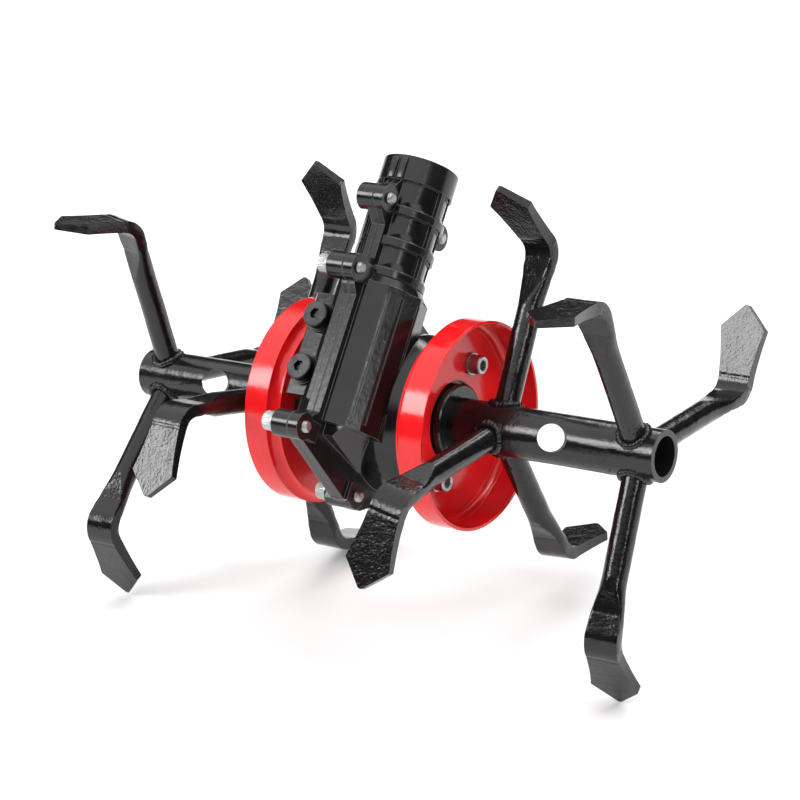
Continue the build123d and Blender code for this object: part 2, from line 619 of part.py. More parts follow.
if __name__ == "__main__":
    os.makedirs("parts", exist_ok=True)
    left_shell, right_shell, gasket = housing()
    save("gearbox_shell_left", stand(left_shell))
    save("gearbox_shell_right", stand(right_shell))
    save("shell_gasket", stand(gasket))
    out_inners, out_outers, out_balls = output_bearings()
    in_inners, in_outers, in_balls = worm_bearings()
    groups = {"axle_bearing_inner_rings": out_inners, "axle_bearing_outer_rings": out_outers,
              "axle_bearing_balls": out_balls, "worm_bearing_inner_rings": in_inners,
              "worm_bearing_outer_rings": in_outers, "worm_bearing_balls": in_balls,
              "bearing_circlips": [circlip(-1), circlip(1)]}
    groups["shell_screws"], groups["shell_screw_washers"] = shell_screws()
    groups["guard_screws"], groups["guard_screw_washers"] = guard_screws()
    groups["bracket_bolts"], groups["bracket_bolt_washers"] = bracket_bolts()
    groups["hub_screws"], groups["hub_screw_washers"] = hub_screws()
    for name, solids in groups.items():
        save(name, *[stand(solid) for solid in solids])
    singles = {"worm_shaft": worm_shaft(), "worm_wheel": worm_wheel(), "wheel_key": wheel_key(),
               "axle_shaft": axle_shaft()}
    for word, side in (("left", -1), ("right", 1)):
        singles[f"oil_seal_{word}"] = oil_seal(side)
        singles[f"guard_cup_{word}"] = guard(side)
        singles[f"hub_tube_{word}"] = hub_tube(side)
        singles[f"hub_flange_{word}"] = hub_flange(side)
        singles[f"drive_bush_{word}"] = drive_bush(side)
    for row, (station, first, errors) in TINE_SETS.items():
        for number, (turn, bend, twist) in enumerate(errors):
            singles[f"tine_{row}_{number + 1}"] = tine(station, first + 120 * number + turn,
                                                      BEND + bend, twist)
    for name, shape in singles.items():
        save(name, stand(shape))
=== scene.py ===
import bmesh
import bpy
import json
import math
import random
from mathutils import Matrix, Vector, noise


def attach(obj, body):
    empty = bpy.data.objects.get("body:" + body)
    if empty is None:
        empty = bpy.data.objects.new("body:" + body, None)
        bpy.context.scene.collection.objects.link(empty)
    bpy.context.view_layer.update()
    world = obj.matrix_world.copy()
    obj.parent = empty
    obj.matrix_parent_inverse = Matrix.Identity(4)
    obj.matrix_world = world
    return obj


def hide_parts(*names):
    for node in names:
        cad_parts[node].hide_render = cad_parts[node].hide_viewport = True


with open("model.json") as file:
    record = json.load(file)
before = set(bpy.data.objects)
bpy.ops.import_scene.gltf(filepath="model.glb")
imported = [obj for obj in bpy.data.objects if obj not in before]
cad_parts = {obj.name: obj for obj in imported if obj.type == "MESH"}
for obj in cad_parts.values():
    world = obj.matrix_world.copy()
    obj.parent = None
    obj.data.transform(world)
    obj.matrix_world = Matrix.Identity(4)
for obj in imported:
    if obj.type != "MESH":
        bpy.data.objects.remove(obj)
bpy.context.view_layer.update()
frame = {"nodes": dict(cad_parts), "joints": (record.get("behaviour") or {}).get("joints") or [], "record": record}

# Everything is in metres, in the frame of the CAD model: +X along the axle, +Y to the back.
MM = 0.001
JOINTS = {joint["name"]: joint for joint in frame["joints"]}
AXLE = Vector(JOINTS["axle_spin"]["pos_m"])
BOOM = Vector(JOINTS["worm_spin"]["axis"])
SLOT_OF = {part["node"]: part["material_slot"] for part in frame["record"]["subparts"]}

# tines, as forged: a round rod, flattened towards the bend and drawn out into a pointed blade
TUBE_R = 13.0 * MM
ROD_R = 6.5 * MM
ROOT = 12.2 * MM
FLAT_START = 61.0 * MM
FLAT_FULL = 84.0 * MM
CORNER = 95.4 * MM
BEND_R = 11.0 * MM
BLADE = 46.9 * MM
POINT = 13.1 * MM
HALF_SHOULDER = 12.8 * MM
HALF_NECK = 8.8 * MM
FLARE = 0.34
HALF_THICK = 3.2 * MM
HALF_EDGE = 1.7 * MM
NOSE_R = 2.0 * MM
CREASES = (66.0 * MM, 79.0 * MM)        # forging marks across the flat, before the bend
CREASE_DEPTH = 0.22 * MM
CREASE_WIDTH = 0.5 * MM
BEND_CREASE = 1.5 * MM                  # one more mark, just past the bend
BEND_CREASE_DEPTH = 0.25 * MM
BEND_CREASE_WIDTH = 0.6 * MM
SQUARENESS = 5.0                        # how square the flat's corners are; 0 is a plain oval
ROD_STATIONS = 26                       # sections along the round rod
FLAT_STATIONS = 110                     # and from there to the point
CROWDING = 1.12                         # above 1, the flat's sections crowd towards the point
SECTION_POINTS = 44
LUMPS = ((0.13 * MM, 9.0 * MM), (0.06 * MM, 3.0 * MM))     # height and size, coarse and fine
SUNK = 0.12 * MM                        # draws the surface inward, to make room for the lumps
TIP_GAP = 0.15 * MM                     # keeps the point short of the CAD model's
CALMING = 0.6                           # share of the lumps that is gone at the point
TOUCH = 0.1 * MM                        # how near the tube's surface a rod's root lies

# welds and their spatter; sizes and places of the drops are lowest and highest values
BEAD = 1.9 * MM                         # half thickness of the weld beads
BEAD_STEPS = 96
BEAD_SIDES = 10
BEAD_RIPPLES = 26
DROPS = 9                               # drops of spatter at each weld
DROP_LEVELS = 4
DROP_SIDES = 7
DROP_SIZES = (0.25, 0.6)                # mm
DROPS_UP_ROD = (14, 26)                 # mm from the axle, where they sit on the rod
DROPS_ALONG_TUBE = (9, 18)              # mm from the rod's middle, where they sit on the tube
DROPS_ROUND_TUBE = (-0.9, 0.9)          # radians

# shell and guard screws
M6_R = 3.0 * MM
M6_KEY = 5.0 * MM
M6_PITCH = 1.0 * MM
M6_THREAD = 0.5 * MM                    # depth of the thread
KNURL = 0.3 * MM                        # depth of the head's knurls
KNURLS = 32
THREAD_STEPS = 6                        # rings to a turn of the thread
SCREW_POINTS = 96
PLAIN_SHARE = 0.55                      # share of the shank without thread
SOCKET_FLOOR = 0.42                     # height of the key socket's floor, as a share of the head

# neck and collar of the casing
COLLAR_R = 19.8 * MM
RIB_R = 20.0 * MM
NECK_R = 17.6 * MM
AHEAD = -BOOM.cross(Vector((1, 0, 0)))            # square to the boom, to the front
LEDGES = (27.0 * MM, 44.0 * MM, 60.0 * MM)         # from the mouth down to the windows' feet
NECK_WINDOWS = ((13.0, 80.0), (88.0, 146.0))       # on the right: degrees from the front
LEDGE_RISE = 4.6 * MM
LEDGE_STEPS = 25
COLLAR_RIB_STATION = 2.75 * MM                     # from the middle of the clamping slot

# stage
STANDING_TINES = ("tine_right_outer_2", "tine_left_outer_2", "tine_left_inner_2")
FLOOR_REACH = 9.0
FLOOR_GAP = 0.3 * MM                    # the floor lies this far below the tines' points
CAMERA_PLACE = (0.7691, -1.0479, 0.4257)


# ---------------------------------------------------------------- materials

class Recipe:
    """A material whose nodes are added one at a time; values may be numbers or output sockets."""

    def __init__(self, name):
        self.material = bpy.data.materials.new(name)
        self.material.use_nodes = True
        self.tree = self.material.node_tree
        self.shader = self.tree.nodes["Principled BSDF"]
        self.place = self.node("ShaderNodeTexCoord").outputs["Object"]

    def node(self, kind, **settings):
        made = self.tree.nodes.new(kind)
        for key, value in settings.items():
            setattr(made, key, value)
        return made

    def feed(self, node, **inputs):
        for key, value in inputs.items():
            socket = node.inputs[key.replace("_", " ")]
            if isinstance(value, bpy.types.NodeSocket):
                self.tree.links.new(value, socket)
            else:
                socket.default_value = value
        return node

    def set(self, **inputs):
        self.feed(self.shader, **inputs)

    def noise(self, scale, detail=2.0, roughness=0.5, distortion=0.0):
        made = self.node("ShaderNodeTexNoise")
        self.feed(made, Vector=self.place, Scale=scale, Detail=detail, Roughness=roughness,
                  Distortion=distortion)
        return made.outputs["Fac"]

    def cells(self, scale):
        made = self.node("ShaderNodeTexVoronoi")
        self.feed(made, Vector=self.place, Scale=scale)
        return made.outputs["Distance"]

    def ramp(self, value, low, high, start, end):
        """value, from low to high, becomes start to end."""
        made = self.node("ShaderNodeMapRange")
        self.feed(made, Value=value)
        for key, number in (("From Min", low), ("From Max", high), ("To Min", start),
                            ("To Max", end)):
            made.inputs[key].default_value = number
        return made.outputs["Result"]

    def mix(self, factor, first, second):
        made = self.node("ShaderNodeMix", data_type="RGBA")
        self.feed(made, Factor=factor)
        for socket, value in ((made.inputs[6], first), (made.inputs[7], second)):
            if isinstance(value, bpy.types.NodeSocket):
                self.tree.links.new(value, socket)
            else:
                socket.default_value = (*value, 1.0)
        return made.outputs[2]

    def round_edges(self, radius):
        made = self.node("ShaderNodeBevel", samples=4)
        made.inputs["Radius"].default_value = radius
        return made.outputs["Normal"]

    def edge_highlight_mask(self, radius, low=0.02, high=0.16):
        """Mask for a painted highlight: 1 along edges sharper than a gentle bend, 0 on open faces."""
        shape = self.node("ShaderNodeNewGeometry")
        apart = self.node("ShaderNodeVectorMath", operation="DOT_PRODUCT")
        self.tree.links.new(self.round_edges(radius), apart.inputs[0])
        self.tree.links.new(shape.outputs["Normal"], apart.inputs[1])
        return self.ramp(apart.outputs["Value"], 1 - low, 1 - high, 0.0, 1.0)

    def bump(self, height, depth, normal=None, strength=1.0):
        made = self.node("ShaderNodeBump")
        self.feed(made, Height=height, Distance=depth, Strength=strength)
        if normal is not None:
            self.feed(made, Normal=normal)
        return made.outputs["Normal"]


def paint(name, colour, tint, edge_highlight_colour, gloss, peel, peel_depth, grain, grain_depth, edge):
    """Gloss paint: orange peel, a finer grain under it, and a painted highlight along its sharp edges."""
    made = Recipe(name)
    shade = made.mix(made.ramp(made.noise(38.0, 3.0), 0.35, 0.65, 0.0, 1.0), colour, tint)
    dust = tuple(min(1.0, 2.2 * value + 0.02) for value in colour)
    shade = made.mix(made.ramp(made.cells(620.0), 0.04, 0.09, 1.0, 0.0), shade, dust)
    # painted highlight: a lighter colour mixed in along sharp edges, standing in for light caught on them
    made.set(Base_Color=made.mix(made.edge_highlight_mask(edge), shade, edge_highlight_colour))
    made.set(Roughness=made.ramp(made.noise(160.0, 4.0), 0.3, 0.7, gloss * 0.75, gloss * 1.35))
    made.set(IOR=1.45)
    normal = made.round_edges(edge)
    normal = made.bump(made.noise(peel, 2.0), peel_depth, normal)
    normal = made.bump(made.noise(grain, 3.0, 0.6), grain_depth, normal)
    made.set(Normal=normal)
    return made.material


def forged_paint(name):
    """Black paint over a hammered, scaly steel surface."""
    made = Recipe(name)
    scale = made.noise(240.0, 6.0, 0.62)
    shade = made.mix(made.ramp(scale, 0.35, 0.7, 0.0, 1.0), (0.004, 0.004, 0.0043),
                     (0.009, 0.009, 0.0095))
    speck = made.ramp(made.cells(480.0), 0.05, 0.11, 1.0, 0.0)
    shade = made.mix(speck, shade, (0.03, 0.03, 0.03))
    # painted highlight: a lighter grey mixed in along sharp edges, standing in for light caught on them
    made.set(Base_Color=made.mix(made.edge_highlight_mask(0.5 * MM), shade, (0.035, 0.035, 0.036)))
    made.set(Roughness=made.ramp(made.noise(300.0, 5.0), 0.3, 0.7, 0.06, 0.17))
    made.set(IOR=1.45)
    normal = made.round_edges(0.4 * MM)
    normal = made.bump(made.noise(190.0, 2.0), 0.26 * MM, normal, 0.6)
    normal = made.bump(made.noise(700.0, 3.0, 0.55, 0.3), 0.16 * MM, normal, 0.8)
    made.set(Normal=normal)
    return made.material


def metal(name, colour, dark, rough, turn_scale, depth, stain=0.0):
    """Bare or plated metal with fine turning marks and faint stains."""
    made = Recipe(name)
    cloud = made.noise(120.0, 5.0)
    shade = made.mix(made.ramp(cloud, 0.35, 0.7, 0.0, 0.5 + stain), colour, dark)
    made.set(Base_Color=shade, Metallic=1.0)
    made.set(Roughness=made.ramp(made.noise(700.0, 4.0), 0.3, 0.7, rough * 0.7, rough * 1.5))
    normal = made.round_edges(0.25 * MM)
    normal = made.bump(made.noise(turn_scale, 4.0, 0.6), depth, normal)
    made.set(Normal=normal)
    return made.material


def soft(name, colour, dark, rough, scale, depth):
    """Rubber or pressed paper: matt, mottled and slightly rough."""
    made = Recipe(name)
    shade = made.mix(made.ramp(made.noise(scale, 5.0), 0.3, 0.7, 0.0, 1.0), colour, dark)
    made.set(Base_Color=shade, Specular_IOR_Level=0.35)
    made.set(Roughness=made.ramp(made.noise(scale * 3, 3.0), 0.3, 0.7, rough * 0.85, rough))
    made.set(Normal=made.bump(made.noise(scale * 4, 4.0), depth))
    return made.material


BLACK = (0.0052, 0.0052, 0.0056)
GREYER = (0.0095, 0.0095, 0.010)
RED = (0.80, 0.010, 0.013)
DEEP_RED = (0.70, 0.008, 0.011)
# the colour after the tint in each paint() call is that paint's painted edge highlight
MATERIALS = {
    "housing_paint": paint("housing_paint", BLACK, GREYER, (0.15, 0.15, 0.155), 0.15, 420.0,
                           0.05 * MM, 1500.0, 0.02 * MM, 0.7 * MM),
    "hub_paint": forged_paint("hub_paint"),
    "tube_paint": paint("tube_paint", BLACK, GREYER, (0.04, 0.04, 0.042), 0.12, 170.0, 0.24 * MM,
                        900.0, 0.10 * MM, 0.5 * MM),
    "guard_paint": paint("guard_paint", RED, DEEP_RED, (0.86, 0.06, 0.05), 0.13, 260.0,
                         0.035 * MM, 1300.0, 0.008 * MM, 0.6 * MM),
    "zinc": metal("zinc", (0.46, 0.46, 0.46), (0.26, 0.26, 0.255), 0.36, 1800.0, 0.05 * MM),
    "black_oxide": metal("black_oxide", (0.055, 0.055, 0.055), (0.020, 0.020, 0.020), 0.33, 1500.0,
                         0.03 * MM, 0.3),
    "bearing_steel": metal("bearing_steel", (0.72, 0.72, 0.73), (0.5, 0.5, 0.5), 0.12, 1400.0,
                           0.008 * MM),
    "machined_steel": metal("machined_steel", (0.56, 0.56, 0.57), (0.36, 0.35, 0.34), 0.3, 1200.0,
                            0.03 * MM, 0.2),
    "bronze": metal("bronze", (0.66, 0.42, 0.18), (0.42, 0.25, 0.10), 0.3, 1100.0, 0.03 * MM, 0.3),
    "seal_rubber": soft("seal_rubber", (0.02, 0.02, 0.02), (0.035, 0.034, 0.033), 0.6, 400.0,
                        0.03 * MM),
    "gasket": soft("gasket", (0.03, 0.031, 0.03), (0.05, 0.052, 0.05), 0.85, 700.0, 0.05 * MM),
}


def dress(obj, name):
    """Give an object one of the materials."""
    obj.data.materials.clear()
    obj.data.materials.append(MATERIALS[name])


# ---------------------------------------------------------------- mesh helpers

def finish_piece(name, verts, faces, body, material, sharp=38.0):
    """Object that rides on a body; edges sharper than `sharp` degrees stay sharp."""
    mesh = bpy.data.meshes.new(name)
    mesh.from_pydata([tuple(v) for v in verts], [], faces)
    mesh.update()
    fixed = bmesh.new()
    fixed.from_mesh(mesh)
    bmesh.ops.recalc_face_normals(fixed, faces=fixed.faces)
    fixed.to_mesh(mesh)
    fixed.free()
    for face in mesh.polygons:
        face.use_smooth = True
    mesh.set_sharp_from_angle(angle=math.radians(sharp))
    obj = bpy.data.objects.new(name, mesh)
    bpy.context.scene.collection.objects.link(obj)
    dress(obj, material)
    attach(obj, body)
    return obj


def bridge(rings, closed=False):
    """Quads between rings of equal length, with flat caps unless the rings close on themselves."""
    count = len(rings[0])
    verts = [point for ring in rings for point in ring]
    faces = []
    pairs = list(zip(range(len(rings)), range(1, len(rings))))
    if closed:
        pairs.append((len(rings) - 1, 0))
    for low, high in pairs:
        for i in range(count):
            j = (i + 1) % count
            faces.append((low * count + i, low * count + j, high * count + j, high * count + i))
    if not closed:
        faces.append(tuple(reversed(range(count))))
        faces.append(tuple(range(len(verts) - count, len(verts))))
    return verts, faces


def lump(point, scale, seed):
    """Smooth noise from -1 to 1 at a point, `scale` metres across."""
    return noise.noise(Vector(point) / scale + Vector((seed * 3.7, seed * 1.9, seed * 5.3)))


def join(parts):
    """One list of vertices and faces out of several."""
    verts, faces = [], []
    for more_verts, more_faces in parts:
        start = len(verts)
        verts += more_verts
        faces += [tuple(i + start for i in face) for face in more_faces]
    return verts, faces


def welded_vertices(node):
    """The node's vertices with doubles merged, as islands of points."""
    shape = bmesh.new()
    shape.from_mesh(frame["nodes"][node].data)
    bmesh.ops.remove_doubles(shape, verts=shape.verts, dist=1e-6)
    groups, seen = [], set()
    for first in shape.verts:
        if first in seen:
            continue
        seen.add(first)
        group, edge = [], [first]
        while edge:
            vert = edge.pop()
            group.append(vert.co.copy())
            for link in vert.link_edges:
                other = link.other_vert(vert)
                if other not in seen:
                    seen.add(other)
                    edge.append(other)
        groups.append(group)
    shape.free()
    return groups


# ---------------------------------------------------------------- tines

def off_axle(point):
    """The way to the point straight out from the axle's line."""
    return Vector((0.0, point.y - AXLE.y, point.z - AXLE.z))


def tine_place(node):
    """Matrix of the tine's own axes (+Z out along the rod, bend towards -Y) and its bend angle."""
    points = welded_vertices(node)[0]
    root = [p for p in points if abs(off_axle(p).length - TUBE_R) < TOUCH]
    sides = [min(root, key=lambda p: p.x), max(root, key=lambda p: p.x)]
    station = (sides[0].x + sides[1].x) / 2
    out = (off_axle(sides[0]) + off_axle(sides[1])).normalized()
    centre = Vector((station, AXLE.y, AXLE.z))
    far = max(points, key=lambda p: (p - centre).length)
    edge = [p for p in points if (p - far).length < 2.4 * HALF_EDGE]
    tip = sum(edge, Vector()) / len(edge) - centre
    reach = tip.dot(out)
    aside = tip - reach * out
    bend = math.atan2(aside.length, reach - CORNER)
    back = -aside.normalized()
    place = Matrix((back.cross(out), back, out)).transposed().to_4x4()
    return Matrix.Translation(centre) @ place, bend


def ease(value, low, high):
    """Smooth step from 0 at low to 1 at high."""
    share = min(1.0, max(0.0, (value - low) / (high - low)))
    return share * share * (3 - 2 * share)


def half_width(run, to_tip):
    """Half width of the tine where `run` is the way along it and `to_tip` what is left."""
    slope = HALF_SHOULDER / POINT
    lean = math.atan(slope)
    if to_tip < POINT:
        middle = NOSE_R / math.sin(lean)
        if to_tip < middle - NOSE_R * math.sin(lean):
            return math.sqrt(max(1e-9, NOSE_R ** 2 - (middle - to_tip) ** 2))
        return slope * to_tip
    neck = ROD_R + (HALF_NECK - ROD_R) * ease(run, FLAT_START + 2 * MM, FLAT_FULL)
    shoulder = BLADE - BEND_R * 0.6 - POINT
    share = max(0.0, 1 - (to_tip - POINT) / shoulder)
    curve = (4 * FLARE - 1) * share + (2 - 4 * FLARE) * share * share
    return neck + (HALF_SHOULDER - HALF_NECK) * max(0.0, curve)


def half_thickness(run, bend_end, total):
    """Half thickness of the tine, with its creases, `run` along it."""
    past = max(0.0, run - bend_end) / (total - bend_end)
    flat = ease(run, FLAT_START, FLAT_FULL - 4 * MM)
    thick = ROD_R + (HALF_THICK - ROD_R) * flat
    thick += (HALF_EDGE - HALF_THICK) * past
    for crease in CREASES:
        thick -= CREASE_DEPTH * math.exp(-((run - crease) / CREASE_WIDTH) ** 2)
    mark = (run - bend_end - BEND_CREASE) / BEND_CREASE_WIDTH
    return thick - BEND_CREASE_DEPTH * math.exp(-mark ** 2)


def spine(run, start, arc):
    """Centre of the tine `run` along it, and the direction to the inside of the bend."""
    angle = min(max(run - start, 0.0), arc) / BEND_R
    inward = Vector((0.0, -math.cos(angle), -math.sin(angle)))
    if run <= start:
        return Vector((0.0, 0.0, run)), inward
    centre = Vector((0.0, -BEND_R, start)) - BEND_R * inward
    if run > start + arc:
        along = Vector((0.0, -math.sin(angle), math.cos(angle)))
        centre += along * (run - start - arc)
    return centre, inward


def tine_section(centre, inward, wide, thick, power, roughness, seed):
    """Ring round the tine, from oval (power 1) to nearly square, with slight lumps."""
    ring = []
    for i in range(SECTION_POINTS):
        turn = 2 * math.pi * i / SECTION_POINTS
        c, s = math.cos(turn), math.sin(turn)
        x = wide * math.copysign(abs(c) ** power, c)
        y = ROD_R * math.copysign(abs(s) ** power, s)
        y = min(thick, max(-thick, y))
        offset = Vector((x, 0, 0)) - inward * y
        point = centre + offset
        push = -SUNK
        for number, (height, size) in enumerate(LUMPS):
            push += height * lump(point, size, seed + 9 * number)
        ring.append(point + offset.normalized() * push * roughness)
    return ring


def tine_rings(bend, seed):
    """Sections of the tine from its root to its point."""
    corner_cut = BEND_R * math.tan(bend / 2)
    start = CORNER - corner_cut
    arc = BEND_R * bend
    bend_end = start + arc
    total = bend_end + BLADE - corner_cut
    nose_gap = NOSE_R * (1 / math.sin(math.atan(HALF_SHOULDER / POINT)) - 1)
    rod = FLAT_START - ROOT
    flat = total - nose_gap - TIP_GAP - FLAT_START
    stations = [ROOT + rod * i / ROD_STATIONS for i in range(ROD_STATIONS)]
    stations += [FLAT_START + flat * (1 - (1 - i / FLAT_STATIONS) ** CROWDING)
                 for i in range(FLAT_STATIONS + 1)]
    rings = []
    for run in stations:
        centre, inward = spine(run, start, arc)
        wide = half_width(run, total - run)
        thick = half_thickness(run, bend_end, total)
        square = ease(run, FLAT_FULL - 6 * MM, bend_end + 8 * MM)
        power = 2.0 / (2.0 + SQUARENESS * square)
        roughness = 1 - CALMING * max(0.0, run - bend_end) / (total - bend_end)
        rings.append(tine_section(centre, inward, wide, thick, power, roughness, seed))
    return rings


def weld_bead(radius, bead, seed):
    """Lumpy bead round a rod's root, on the saddle where the rod meets the tube."""
    rings = []
    for i in range(BEAD_STEPS):
        turn = 2 * math.pi * i / BEAD_STEPS
        direction = Vector((math.cos(turn), math.sin(turn), 0.0))
        flat = direction * (radius + 0.35 * bead)
        height = math.sqrt(TUBE_R ** 2 - flat.y ** 2) + 0.05 * bead
        centre = Vector((flat.x, flat.y, height))
        ripple = 1 + 0.13 * math.sin(BEAD_RIPPLES * turn + seed)
        ripple += 0.35 * lump(direction, 0.35, seed)
        ring = []
        for j in range(BEAD_SIDES):
            roll = 2 * math.pi * j / BEAD_SIDES
            size = bead * ripple * (1 + 0.2 * lump(direction * 3 + Vector((0, 0, roll)), 0.6, seed))
            ring.append(centre + size * (math.cos(roll) * direction
                                         + math.sin(roll) * Vector((0, 0, 1))))
        rings.append(ring)
    return bridge(rings, closed=True)


def droplet(centre, up, size):
    """Flattened drop of spatter sitting on a surface whose normal is `up`."""
    side = up.orthogonal().normalized()
    other = up.cross(side)
    rings = []
    for level in range(DROP_LEVELS):
        tilt = math.pi / 2 * level / (DROP_LEVELS - 1)
        ring = []
        for i in range(DROP_SIDES):
            turn = 2 * math.pi * i / DROP_SIDES
            spread = size * math.cos(tilt) + 0.02 * MM
            ring.append(centre + spread * (math.cos(turn) * side + math.sin(turn) * other)
                        + up * size * 0.7 * math.sin(tilt))
        rings.append(ring)
    return bridge(rings)


def spatter(chance, number, inboard):
    """Drops on the rod and on the tube's inboard side of a weld, in the tine's own axes."""
    parts = []
    for _ in range(number):
        turn = chance.uniform(0, 2 * math.pi)
        size = chance.uniform(*DROP_SIZES) * MM
        if chance.random() < 0.5:
            up = Vector((math.cos(turn), math.sin(turn), 0.0))
            centre = up * ROD_R + Vector((0, 0, chance.uniform(*DROPS_UP_ROD) * MM))
        else:
            lean = chance.uniform(*DROPS_ROUND_TUBE)
            up = Vector((0.0, math.sin(lean), math.cos(lean)))
            along = inboard * chance.uniform(*DROPS_ALONG_TUBE) * MM
            centre = up * TUBE_R + Vector((along, 0, 0))
        parts.append(droplet(centre, up, size))
    return join(parts)


def make_tines():
    tines = sorted(name for name in frame["nodes"] if name.startswith("tine_"))
    for number, node in enumerate(tines):
        place, bend = tine_place(node)
        seed = number + 1
        verts, faces = bridge(tine_rings(bend, seed))
        word = node.replace("tine_", "")
        forged = finish_piece(f"forged_tine_{word}", [place @ v for v in verts], faces, "axle",
                              "hub_paint")
        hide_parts(node)
        verts, faces = weld_bead(ROD_R, BEAD, seed)
        finish_piece(f"weld_{word}", [place @ v for v in verts], faces, "axle", "hub_paint",
                     70.0)
        inboard = -math.copysign(1.0, place[0][0] * place.translation.x)
        verts, faces = spatter(random.Random(seed), DROPS, inboard)
        finish_piece(f"spatter_{word}", [place @ v for v in verts], faces, "axle", "tube_paint",
                     70.0)


# ---------------------------------------------------------------- screws

def circle(radius, height, flute=0.0, flutes=0):
    """Ring about +Z, with flutes of depth `flute` cut evenly into it where asked."""
    ring = []
    for i in range(SCREW_POINTS):
        angle = 2 * math.pi * i / SCREW_POINTS
        r = radius - flute * (0.5 + 0.5 * math.cos(flutes * angle))
        ring.append(Vector((r * math.cos(angle), r * math.sin(angle), height)))
    return ring


def hexagon(across, height):
    """Ring about +Z in the shape of a hexagon, as many points as a circle has."""
    ring = []
    for i in range(SCREW_POINTS):
        angle = 2 * math.pi * i / SCREW_POINTS
        wedge = (angle + math.pi / 6) % (math.pi / 3) - math.pi / 6
        r = across / 2 / math.cos(wedge)
        ring.append(Vector((r * math.cos(angle), r * math.sin(angle), height)))
    return ring


def thread(shank_r, start, end):
    """Rings of a screw thread that runs out in a taper at the screw's tip."""
    rings = []
    rise = M6_PITCH / THREAD_STEPS
    for step in range(1, int((end - start) / rise)):
        height = start + step * rise
        ring = []
        for i in range(SCREW_POINTS):
            angle = 2 * math.pi * i / SCREW_POINTS
            cut = 0.5 + 0.5 * math.cos(2 * math.pi * height / M6_PITCH - angle)
            taper = 1 - ease(end - height, 0.0, 1.2 * MM)
            r = shank_r - M6_THREAD * (cut + taper)
            ring.append(Vector((r * math.cos(angle), r * math.sin(angle), height)))
        rings.append(ring)
    return rings


def cap_screw(shank_r, length, head_r, head, key):
    """Socket cap screw along +Z with its head below zero: knurled head, threaded end."""
    plain = length * PLAIN_SHARE
    socket = -head * SOCKET_FLOOR
    rings = [
        circle(0.2 * MM, socket),
        hexagon(key, socket),
        hexagon(key, -head + 0.25 * MM),
        circle(key * 0.62, -head),
        circle(head_r - 0.7 * MM, -head),
        circle(head_r - 0.1 * MM, -head + 0.55 * MM),
        circle(head_r, -head + 0.9 * MM, KNURL, KNURLS),
        circle(head_r, -0.7 * MM, KNURL, KNURLS),
        circle(head_r - 0.1 * MM, -0.4 * MM),
        circle(head_r - 0.4 * MM, 0.0),
        circle(shank_r, 0.0),
        circle(shank_r, plain),
    ]
    rings += thread(shank_r, plain, length)
    rings.append(circle(shank_r - 2 * M6_THREAD, length))
    return bridge(rings)


def screw_places(node, shank_r):
    """Matrix and size of each screw in a node whose screws lie along X: +Z from head to tip."""
    found = []
    for points in welded_vertices(node):
        low = min(p.x for p in points)
        high = max(p.x for p in points)
        middle = Vector((0, min(p.y for p in points) + max(p.y for p in points),
                         min(p.z for p in points) + max(p.z for p in points))) / 2
        wide = [p.x for p in points if math.hypot(p.y - middle.y, p.z - middle.z) > shank_r * 1.3]
        head_low, head_high = min(wide), max(wide)
        forward = 1 if head_low - low < high - head_high else -1
        seat = head_high if forward > 0 else head_low
        head = head_high - head_low
        length = high - head_high if forward > 0 else head_low - low
        axis = Vector((forward, 0, 0))
        place = Matrix((BOOM, axis.cross(BOOM), axis)).transposed().to_4x4()
        centre = Vector((seat, middle.y, middle.z))
        radius = max(math.hypot(p.y - middle.y, p.z - middle.z) for p in points)
        found.append((Matrix.Translation(centre) @ place, length, radius, head))
    return found


def make_screws():
    for node in ("shell_screws", "guard_screws"):
        parts = []
        for place, length, radius, head in screw_places(node, M6_R):
            verts, faces = cap_screw(M6_R, length, radius, head, M6_KEY)
            parts.append(([place @ v for v in verts], faces))
        verts, faces = join(parts)
        made = finish_piece(f"knurled_{node}", verts, faces, "gearbox", "zinc", 30.0)
        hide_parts(node)


# ---------------------------------------------------------------- casing details

def rounded_box(half_wide, half_deep, radius, inset):
    """Outline of a box with rounded corners, drawn in by `inset`."""
    ring = []
    for cx, cy, start in ((1, 1, 0), (-1, 1, 90), (-1, -1, 180), (1, -1, 270)):
        for step in range(5):
            turn = math.radians(start + 22.5 * step)
            ring.append((cx * (half_wide - radius) + (radius - inset) * math.cos(turn),
                         cy * (half_deep - radius) + (radius - inset) * math.sin(turn)))
    return ring


def make_collar_ribs():
    """Raised rib on each half of the collar, one on either side of the clamping slot."""
    rounding = ((1.6, 0.5), (1.75, 0.15), (2.1, 0.0), (12.2, 0.0), (12.7, 0.15), (12.95, 0.5))
    parts = []
    for side in (-1, 1):
        rings = []
        for down, inset in rounding:
            foot = AHEAD * (COLLAR_R + 0.2 * MM) - BOOM * down * MM
            foot += Vector((side * COLLAR_RIB_STATION, 0, 0))
            outline = rounded_box(1.9 * MM, 0.9 * MM, 0.55 * MM, inset * MM)
            rings.append([foot + Vector((x, 0, 0)) + AHEAD * y for x, y in outline])
        parts.append(bridge(rings))
    verts, faces = join(parts)
    finish_piece("collar_ribs", verts, faces, "gearbox", "housing_paint", 30.0)


def neck_ledge(down, start, end):
    """Crescent ledge from one side of a window to the other, `down` from the socket's mouth."""
    inside = NECK_R - 0.4 * MM
    lip = RIB_R - 0.25 * MM
    foot = -BOOM * (down + 0.3 * MM)
    rings = []
    for step in range(LEDGE_STEPS):
        turn = math.radians(start + (end - start) * step / (LEDGE_STEPS - 1))
        out = AHEAD * math.cos(turn) + Vector((math.sin(turn), 0, 0))
        rise = LEDGE_RISE * math.sin(math.pi * (step + 0.5) / LEDGE_STEPS)
        rings.append([foot + out * inside, foot + out * lip,
                      foot + out * lip + BOOM * 0.7 * MM,
                      foot + out * (lip + inside) / 2 + BOOM * (rise * 0.42 + 0.4 * MM),
                      foot + out * inside + BOOM * (rise + 0.6 * MM)])
    return bridge(rings)


